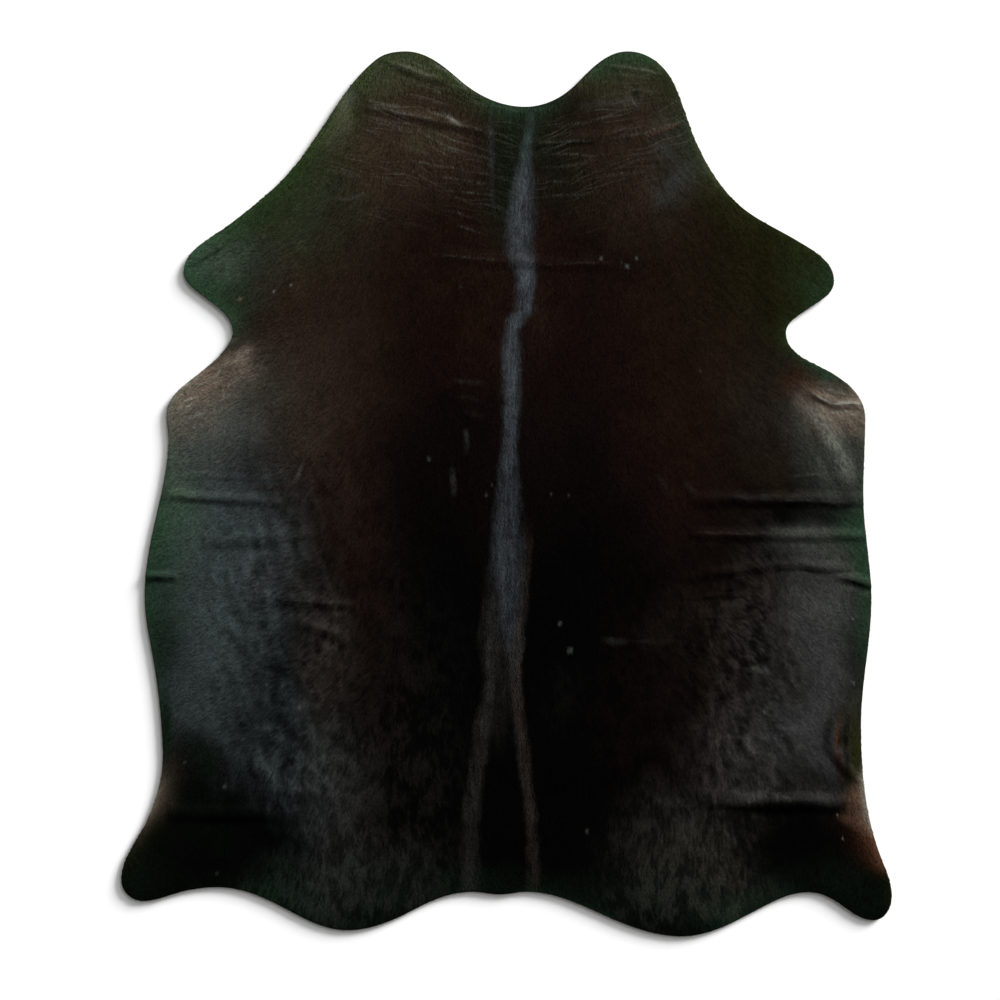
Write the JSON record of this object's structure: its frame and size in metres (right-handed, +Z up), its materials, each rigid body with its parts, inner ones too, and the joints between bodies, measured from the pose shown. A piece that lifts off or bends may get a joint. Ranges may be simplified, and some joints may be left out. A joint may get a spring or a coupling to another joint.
{
  "type": "cowhide rug",
  "caption": "Flat rug made of a whole tanned cowhide with its short dark hair on, cut to the hide's own outline with neck, leg and rump lobes, lying hair side up.",
  "frame": {"origin": "under the middle of the hide's outline, on the floor it lies on", "axes": "+Z up out of the hair side, +Y along the spine towards the neck, +X to the right as the rug is seen from above"},
  "size_m": [2.0012, 2.2999, 0.018],
  "materials": {
    "hair_coat": "short dark brown to black hair lying flat, soft sheen",
    "flesh_side": "pale tanned suede, matt"
  },
  "bodies": {
    "root": {"hide": "hair_coat"}
  },
  "joints": []
}
